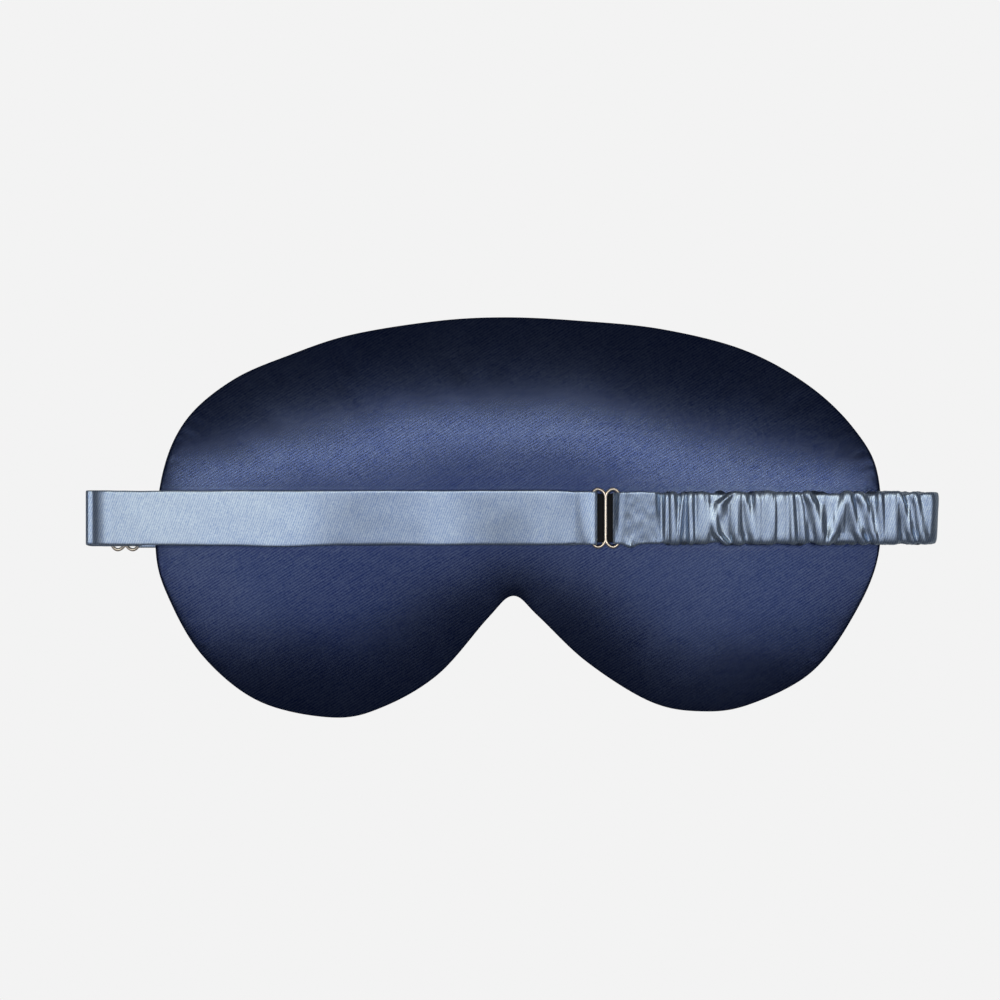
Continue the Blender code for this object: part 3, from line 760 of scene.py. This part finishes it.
def build_flat_strap():
    """The flat strap: its top ply with the left fold, the ply beneath, and the wrap on the connector."""
    bar_x = CONNECTOR.x - SLIDE_HALF_WIDTH
    join_x = outer_high.x + 0.3
    top_z = arch_z(-SPLIT_X) + STRAP_THICKNESS / 2 + PLY_PITCH
    under_z = fold_low.z + STRAP_THICKNESS / 2
    radius = (top_z - under_z) / 2
    turn_x = fold_low.x + STRAP_THICKNESS / 2 + radius
    fold = [(weave_low.x + 2.4, under_z)]
    fold += [(fold_low.x + x, under_z + z) for x, z in FOLD_FROM_LEG]
    fold += [(fold_low.x + x, top_z + z) for x, z in FOLD_FROM_TOP]
    path = even_points(smooth_points(fold + ply_points(-SPLIT_X + 0.5, join_x, 1), 3), 0.5)
    share = ease((path[:, 1] - under_z - 0.5) / radius)
    low_y = (STRAP_Y + LOWER_RUN_Y) / 2
    centres = low_y + (STRAP_Y + 0.1 - low_y) * share
    narrow = ease((path[:, 0] - (join_x - 6.0)) / 7.0)
    widths = STRAP_WIDTH - 0.7 * narrow

    def lift(x, length, across):
        return strap_waves(x, across) * float(ease((length - 12.0) / 8.0))

    rings = band_rings(path, centres, widths, STRAP_THICKNESS, lift, strap_edges)
    top = tube_object("strap_top_ply", rings, BLUE_SATIN)
    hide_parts("strap_outer_ply", "strap_fold_outer")
    blend_at(top)

    leg_z = inner_fold_low.z + STRAP_THICKNESS / 2
    inner_top = arch_z(-SPLIT_X) + STRAP_THICKNESS / 2
    inner_radius = (inner_top - leg_z) / 2
    fold = [(ADJUSTER.x - 4.7, leg_z)]
    fold += arc(turn_x + UNDER_FOLD_SHIFT, leg_z + inner_radius, inner_radius, 270, 90, 12)
    path = even_points(smooth_points(fold + ply_points(-SPLIT_X + 0.4, join_x, 0), 2), 0.9)

    def inner_edges(x, length, side):
        return 0.25 * soft_noise(x * 0.06, side * 5.0, 21.0) - UNDER_PLY_INSET

    centre = STRAP_Y - UNDER_PLY_INSET
    rings = band_rings(path, centre, STRAP_WIDTH, STRAP_THICKNESS, lift, inner_edges, 7)
    inner = tube_object("strap_under_ply", rings, BLUE_SATIN)
    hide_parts("strap_inner_ply", "strap_fold_inner")
    blend_at(inner)

    low_join = arch_z(join_x) + STRAP_THICKNESS / 2
    high_join = low_join + PLY_PITCH
    wrap = [(join_x, low_join), (join_x + 1.5, low_join)]
    wrap += bar_loop(bar_x, -90, 90, STRAP_LOOP)
    wrap += [(join_x + 1.7, high_join + 0.45), (join_x, high_join)]
    path = even_points(smooth_points(wrap, 4), 0.3)
    wrap_length = line_length(path)

    def settle(x, length, across):
        over = -1.0 if length > wrap_length / 2 else 1.0
        return over * strap_waves(x, across) * float(ease((bar_x + 0.4 - x) / 3.5))

    rings = band_rings(path, STRAP_Y, STRAP_WIDTH - 0.3, STRAP_THICKNESS, settle, strap_edges)
    turn = tube_object("strap_wrap", rings, BLUE_SATIN)
    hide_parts("strap_end_wrap")
    blend_at(turn)


# The weave through the adjuster, from its middle: over the left bar and under the centre bar.
WEAVE_PATH = [(-4.1, 1.08), (-3.15, 0.6), (-2.5, -0.4), (-1.65, -1.45)]
WEAVE_BOTTOM = -1.88
WEAVE_WIDTH = 14.8
TAIL_WIDTH = 14.6
TAIL_END = 4.6
RUN_THICKNESS = 0.42
RUN_END_X = -101.0


def by_adjuster(points):
    """Return points given from the adjuster's middle in their place."""
    return [(ADJUSTER.x + x, ADJUSTER.z + z) for x, z in points]


def build_lower_run():
    """The strap's weave through the adjuster, its sewn tail, and the run into the seam."""
    over = WRAP_RADIUS
    half = [(-6.5, over), (-5.3, over)] + WEAVE_PATH
    points = half + [(0.0, WEAVE_BOTTOM)] + [(-x, z) for x, z in reversed(half[1:])]
    points[-1] = (4.9, over)
    path = even_points(smooth_points(by_adjuster(points), 4), 0.35)
    rings = band_rings(path, LOWER_RUN_Y, WEAVE_WIDTH, STRAP_THICKNESS, columns=9)
    weave = tube_object("strap_weave_band", rings, BLUE_SATIN)
    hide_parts("strap_weave")
    tail = [(-TAIL_END, over + PLY_PITCH), (-3.2, over + PLY_PITCH), (-1.95, 1.35)]
    tail += arc(0, 0, WRAP_RADIUS, 170, 440, 16)
    tail += [(-1.0, 1.75), (-2.3, 2.5), (-3.6, over + 2 * PLY_PITCH), (-TAIL_END, over + 2 * PLY_PITCH)]
    path = even_points(smooth_points(by_adjuster(tail), 3), 0.3)
    rings = band_rings(path, LOWER_RUN_Y, TAIL_WIDTH, STRAP_THICKNESS, columns=9)
    loop = tube_object("strap_tail_loop", rings, BLUE_SATIN)
    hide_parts("tail_loop")
    for item in (weave, loop):
        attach(item, "adjuster")
    start_x = ADJUSTER.x + 4.0
    points = [(start_x, ADJUSTER.z + over), (ADJUSTER.x + 6.0, SEAM_Z + 0.1), (RUN_END_X, SEAM_Z)]
    path = even_points(smooth_points(points, 6), 0.5)
    rings = band_rings(path, LOWER_RUN_Y, STRAP_WIDTH - 0.2, RUN_THICKNESS, columns=9)
    run = tube_object("strap_seam_run", rings, BLUE_SATIN)
    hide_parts("strap_anchor_run")
    blend_at(run)
    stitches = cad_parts["tail_stitch"].data.materials
    stitches.clear()
    stitches.append(BLUE_THREAD)


# ---- wire slides ---------------------------------------------------------------------------------
def wire_object(name, points, closed, radius, material):
    """Return a round wire through points in millimetres as a mesh."""
    curve = bpy.data.curves.new(name, "CURVE")
    curve.dimensions = "3D"
    curve.bevel_depth = radius * MM
    curve.bevel_resolution = 6
    curve.use_fill_caps = True
    spline = curve.splines.new("POLY")
    spline.points.add(len(points) - 1)
    for target, point in zip(spline.points, points):
        target.co = (*(np.array(point) * MM), 1.0)
    spline.use_cyclic_u = closed
    spline.use_smooth = True
    item = bpy.data.objects.new(name, curve)
    bpy.context.scene.collection.objects.link(item)
    mesh = bpy.data.meshes.new_from_object(item.evaluated_get(bpy.context.evaluated_depsgraph_get()))
    bpy.data.objects.remove(item)
    mesh.materials.clear()
    mesh.materials.append(material)
    made = bpy.data.objects.new(name, mesh)
    bpy.context.scene.collection.objects.link(made)
    return made


# A quarter of a slide's outer wire: distance from its bar, and drop from the loops' ends.
SLIDE_QUARTER = [(0.0, 2.1), (0.35, 1.25), (1.05, 0.45), (2.1, 0.0), (3.1, 0.35), (3.85, 1.35)]
SLIDE_SIDE_DROP = 2.9
BAR_DROP = 2.0
LOOP_WIRE_SHARE = 0.94


def slide_path(centre):
    """Return the outer wire of a figure-of-eight slide: two rounded loops that meet at the bar."""
    width = SLIDE_HALF_WIDTH
    quarter = [(x, SLIDE_HALF_HEIGHT - drop) for x, drop in SLIDE_QUARTER + [(width, SLIDE_SIDE_DROP)]]
    right = quarter + [(width, 0.0)] + [(x, -y) for x, y in reversed(quarter)]
    left = [(-x, y) for x, y in reversed(right[1:-1])]
    flat = smooth_points(right + left, 5, closed=True)
    return [(centre.x + x, centre.y + y, centre.z) for x, y in flat]


def build_slides():
    """Both gold wire slides: the connector and the adjuster."""
    for name, centre, body, node in (
        ("connector_wire", CONNECTOR, "connector", "connector_slide"),
        ("adjuster_wire", ADJUSTER, "adjuster", "adjuster_slide"),
    ):
        loop = wire_object(name, slide_path(centre), True, WIRE_RADIUS * LOOP_WIRE_SHARE, GOLD)
        reach = SLIDE_HALF_HEIGHT - BAR_DROP
        bar_points = [(centre.x, centre.y + y, centre.z) for y in np.linspace(-reach, reach, 9)]
        bar = wire_object(name + "_bar", bar_points, False, WIRE_RADIUS, GOLD)
        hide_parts(node)
        for item in (loop, bar):
            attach(item, body)


# Size and place of the dark patch under the connector, which is painted shade for the straps' shadow in
# the slide's gaps.
SHADE_PATCH_HALF_LENGTH = 3.2
SHADE_PATCH_THICKNESS = 0.2
SHADE_PATCH_LIFT = 0.12


def build_painted_shade_patch():
    """A dark cloth patch under the connector: painted shade for the straps' shadow in the gaps of the
    slide.
    """
    xs = np.linspace(CONNECTOR.x - SHADE_PATCH_HALF_LENGTH, CONNECTOR.x + SHADE_PATCH_HALF_LENGTH, 8)
    path = np.array([(x, arch_z(CONNECTOR.x) + SHADE_PATCH_LIFT) for x in xs])
    rings = band_rings(path, STRAP_Y, STRAP_WIDTH - 1.6, SHADE_PATCH_THICKNESS, columns=9)
    shade_patch = tube_object("connector_painted_shade", rings, BLACKOUT)
    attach(shade_patch, "strap")


# ---- tab and gathered strap ----------------------------------------------------------------------
TAB_TILT = 1.0
STITCH_COUNT = 13
STITCH_PITCH = 1.12
STITCH_RADIUS = 0.13
STITCH_HALF_LENGTH = 0.42


def build_tab():
    """The doubled tab round the connector, crumpled at its lower corner, with its row of stitches."""
    bar_x = CONNECTOR.x + SLIDE_HALF_WIDTH
    end_x = tab_high.x + 0.4
    low_end = arch_z(end_x) + STRAP_THICKNESS / 2
    high_end = low_end + PLY_PITCH
    points = [(end_x, low_end), (end_x - 3.0, low_end + 0.05), (bar_x + 4.2, low_end + 0.05)]
    points += bar_loop(bar_x, 270, 90, TAB_LOOP)
    points += [(bar_x + 3.6, high_end + 0.5), (end_x - 3.0, high_end + 0.25), (end_x, high_end + 0.2)]
    path = even_points(smooth_points(points, 4), 0.28)
    half_length = line_length(path) / 2

    def lift(x, length, across):
        crumple = 0.7 * bump_at(x, bar_x + 3.0, 1.6) * bump_at(across, -1.0, 0.28)
        ripple = 0.10 * soft_noise(x * 0.5, across * 3.0, 4.0)
        waves = crumple * soft_noise(x * 1.3, across * 9.0, 6.0) + ripple * float(ease((x - bar_x) / 2.0))
        upper = 2.0 * float(ease((length - half_length + 2.5) / 5.0)) - 1.0
        fade = float(ease((x - bar_x + 2.0) / 3.0) * ease((end_x + 1.0 - x) / 3.0))
        return waves + upper * (TAB_TILT * (across + 1.0) * fade)

    def edges(x, length, side):
        if side < 0:
            crumple = 1.1 * bump_at(x, bar_x + 3.2, 2.2)
        else:
            crumple = 0.25 * bump_at(x, bar_x + 5.5, 3.0)
        return crumple + 0.15 * soft_noise(x * 0.4, side * 3.0, 8.0)

    rings = band_rings(path, STRAP_Y, STRAP_WIDTH - 0.9, STRAP_THICKNESS, lift, edges, 17)
    tab = tube_object("tab_band", rings, BLUE_SATIN)
    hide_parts("elastic_tab")
    blend_at(tab)
    build_tab_stitches(end_x - 1.3, high_end + STRAP_THICKNESS / 2 + 0.28)


def build_tab_stitches(line_x, z):
    """The row of stitches across the tab, each a short thread that dips into the cloth at both ends."""
    chance = random.Random(7)
    half = STITCH_HALF_LENGTH
    for index in range(STITCH_COUNT):
        y = STRAP_Y + (index - (STITCH_COUNT - 1) / 2) * STITCH_PITCH
        x = line_x + chance.uniform(-0.12, 0.12)
        lean = chance.uniform(-0.18, 0.18)
        points = [
            (x - lean, y - half, z - 0.12), (x - lean * 0.5, y - 0.22, z + 0.05),
            (x + lean * 0.5, y + 0.22, z + 0.05), (x + lean, y + half, z - 0.12),
        ]
        name = "tab_stitch_%02d" % (index + 1)
        stitch = wire_object(name, smooth_points(points, 4), False, STITCH_RADIUS, BLUE_THREAD)
        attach(stitch, "strap")
        if index == 0:
            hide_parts("tab_stitch")


# Folds of the gathered casing: place from its start, lean and bow across it, half-width, height.
FOLDS = [
    (0.95, 0.0, 0.1, 0.8, 0.75), (3.6, 0.2, 0.0, 1.0, 0.80), (5.8, -0.75, 0.0, 0.55, 0.75),
    (8.7, 0.1, -0.1, 0.9, 0.85), (12.2, 0.1, 0.1, 1.5, 0.70), (16.4, -1.15, -5.5, 1.1, 1.10),
    (21.8, 0.2, -1.0, 1.4, 0.95), (25.6, 1.9, 0.0, 1.0, 0.65), (28.4, 0.3, 0.2, 1.1, 0.85),
    (31.4, 0.1, 0.3, 1.9, 1.05), (35.0, 0.3, 0.1, 1.7, 0.45), (38.2, 0.3, 0.1, 0.9, 0.80),
    (40.9, 0.9, 0.4, 0.9, 0.60), (45.1, 2.15, 1.05, 1.3, 1.05), (51.6, -2.6, 0.6, 1.2, 0.95),
    (56.1, 2.3, -0.8, 1.2, 0.95), (60.3, 2.7, 0.1, 1.1, 0.85), (64.0, 0.3, 0.0, 1.0, 0.80),
    (67.3, 0.1, 0.2, 1.8, 1.00), (71.3, 2.2, 0.1, 0.9, 0.85), (75.5, 1.6, 0.1, 1.1, 0.80),
    (79.2, 0.2, 0.1, 1.9, 0.50), (83.0, 0.2, 0.0, 1.6, 0.45), (86.5, 0.5, 0.2, 1.4, 0.70),
    (89.4, -0.6, 0.1, 1.3, 0.70), (92.6, 0.3, 0.2, 1.5, 0.70), (95.8, -0.4, 0.0, 1.4, 0.70),
]
FOLD_SIZE = 1.15
FOLD_SPREAD = 1.5
FOLD_SHARPNESS = 6.5
FOLD_GROUND = -0.12
EDGE_SWELL = 0.8
CASING_LEAN = 0.42
CASING_RISE = 1.6
CASING_SIDES = 44
CORNER_POWER = 0.32
UNDERSIDE_SHIFT = 1.7
ELASTIC_WIDTH = 11.0
ELASTIC_THICKNESS = 0.4


def fold_height(along, across):
    """Return the height of the casing's folds: rounded crests with sharp creases between them."""
    total = 0.0
    for place, lean, bow, half, height in FOLDS:
        crest = place - lean * across - bow * (across * across - 0.3)
        gap = (along - crest) / (half * FOLD_SPREAD)
        if abs(gap) < 1.6:
            total += math.exp(FOLD_SHARPNESS * height * (1 - gap * gap))
    total += math.exp(FOLD_SHARPNESS * FOLD_GROUND)
    return math.log(total) / FOLD_SHARPNESS


def gathered_path():
    """Return the centre line of the gathered strap: over the mask, round its fold and back."""
    xs = np.linspace(GATHER_START, SPLIT_X, 60)
    points = [(x, arch_z(x) + CASING_RISE) for x in xs]
    top_z = points[-1][1]
    radius = (top_z - SEAM_Z) / 2
    turn_x = casing_fold_high.x - 1.5 - radius
    points += arc(turn_x, SEAM_Z + radius, radius, 90, -90, 16)
    points += [(turn_x - 4.0, SEAM_Z), (anchor_low.x - 0.3, SEAM_Z)]
    return even_points(smooth_points(points, 2), 0.22), turn_x, top_z


def casing_ring(x, z, normal, length, body):
    """Return the casing's cross-section at a place: a flat rounded tube with its folds."""
    half_width = STRAP_WIDTH / 2 - 0.45
    ring = []
    for step in range(CASING_SIDES):
        angle = 2 * math.pi * step / CASING_SIDES
        cosine, sine = math.cos(angle), math.sin(angle)
        across = math.copysign(abs(cosine) ** CORNER_POWER, cosine)
        up = math.copysign(abs(sine) ** CORNER_POWER, sine)
        side = 1.0 if sine >= 0 else -1.0
        here = fold_height(length + (0.0 if side > 0 else UNDERSIDE_SHIFT), across * side)
        fine = 0.09 * soft_noise(length * 1.5, across * 1.1, side * 3.0)
        fine += 0.30 * soft_noise(length * 0.5, across * 0.8, side * 7.0)
        fine += 0.05 * soft_noise(length * 3.4, across * 2.0, side * 5.0)
        swell = body * (here + fine)
        flat_half = 0.62 + 0.55 * body
        rise = up * (flat_half + FOLD_SIZE * swell) + CASING_LEAN * across * side * body
        y = STRAP_Y + across * (half_width + EDGE_SWELL * swell * abs(cosine) ** 1.5 - 0.3)
        y += 0.22 * soft_noise(length * 0.11, 2.0, 11.0)
        ring.append((x + normal[0] * rise, y, z + normal[1] * rise))
    return ring


def build_gathered_strap():
    """The gathered casing over its elastic, as one tube from the stitches to the right seam."""
    path, turn_x, top_z = gathered_path()
    lengths = lengths_along(path)
    total = lengths[-1]
    rings = []
    for (x, z), normal, length in zip(path, path_normals(path), lengths):
        body = min(float(ease(length / 2.2)), float(ease((total - length) / 3.0)))
        rings.append(casing_ring(x, z, normal, length, body))
    casing = tube_object("gathered_casing", rings, BLUE_SATIN)
    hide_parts("ruched_casing", "ruched_casing_fold", "ruched_casing_anchor")
    blend_at(casing)
    elastic_path = even_points(path, 1.2)
    rings = band_rings(elastic_path, STRAP_Y, ELASTIC_WIDTH, ELASTIC_THICKNESS, columns=5)
    core = tube_object("elastic_band", rings, ELASTIC)
    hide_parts("elastic_core", "elastic_core_fold", "elastic_core_anchor")
    blend_at(core)


# ---- stage ---------------------------------------------------------------------------------------
FLOOR_SIZE = 8.0
FLOOR_Z = -0.0002
FLOOR_SEEN = (0.896, 0.896, 0.896, 1.0)
FLOOR_GLOW = (0.26, 0.26, 0.26, 1.0)
CAMERA_DISTANCE = 1.2
VIEW_WIDTH = 0.2909
SENSOR_WIDTH = 36.0
# Where the camera stands from the mask's middle, in millimetres.
CAMERA_SHIFT = (-5.38, 5.09)
ROOM_COLOUR = (0.8, 0.9, 1.2, 1.0)
ROOM_STRENGTH = 0.045


def build_floor():
    """A plain pale floor that shines evenly by itself, and lights the object more dimly than it looks."""
    bpy.ops.mesh.primitive_plane_add(size=FLOOR_SIZE, location=(0, 0, FLOOR_Z))
    floor = bpy.context.active_object
    floor.name = "floor"
    material = bpy.data.materials.new("pale_floor")
    material.use_nodes = True
    tree = material.node_tree
    tree.nodes.clear()
    output = tree.nodes.new("ShaderNodeOutputMaterial")
    seen = tree.nodes.new("ShaderNodeEmission")
    seen.inputs["Color"].default_value = FLOOR_SEEN
    unseen = tree.nodes.new("ShaderNodeEmission")
    unseen.inputs["Color"].default_value = FLOOR_GLOW
    path = tree.nodes.new("ShaderNodeLightPath")
    mix = tree.nodes.new("ShaderNodeMixShader")
    tree.links.new(path.outputs["Is Camera Ray"], mix.inputs["Fac"])
    tree.links.new(unseen.outputs["Emission"], mix.inputs[1])
    tree.links.new(seen.outputs["Emission"], mix.inputs[2])
    tree.links.new(mix.outputs["Shader"], output.inputs["Surface"])
    floor.data.materials.append(material)


def area_light(name, place, size, power, colour):
    """Add a soft rectangular light that points at the row's origin."""
    data = bpy.data.lights.new(name, "AREA")
    data.shape = "RECTANGLE"
    data.size, data.size_y = size
    data.energy = power
    data.color = colour
    item = bpy.data.objects.new(name, data)
    item.location = place
    item.rotation_euler = (-Vector(place)).to_track_quat("-Z", "Y").to_euler()
    bpy.context.scene.collection.objects.link(item)


def build_stage():
    """The floor, the light and the camera."""
    build_floor()
    area_light("top_box", (0.0, 0.185, 1.0), (1.5, 0.05), 2.75, (1.0, 0.985, 0.90))
    area_light("low_fill", (0.0, -0.10, 1.0), (2.0, 0.34), 2.3, (0.95, 0.98, 1.12))
    world = bpy.data.worlds.new("studio")
    bpy.context.scene.world = world
    world.use_nodes = True
    world.node_tree.nodes["Background"].inputs["Color"].default_value = ROOM_COLOUR
    world.node_tree.nodes["Background"].inputs["Strength"].default_value = ROOM_STRENGTH
    camera_data = bpy.data.cameras.new("camera")
    camera = bpy.data.objects.new("camera", camera_data)
    bpy.context.scene.collection.objects.link(camera)
    camera_data.sensor_width = SENSOR_WIDTH
    camera_data.lens = SENSOR_WIDTH * CAMERA_DISTANCE / VIEW_WIDTH
    place = ((MASK_X + CAMERA_SHIFT[0]) * MM, CAMERA_SHIFT[1] * MM, CAMERA_DISTANCE + 0.010)
    camera.location = place
    bpy.context.scene.camera = camera
    bpy.context.scene.view_settings.view_transform = "Standard"


build_mask()
build_flat_strap()
build_lower_run()
build_slides()
build_painted_shade_patch()
build_tab()
build_gathered_strap()
build_stage()
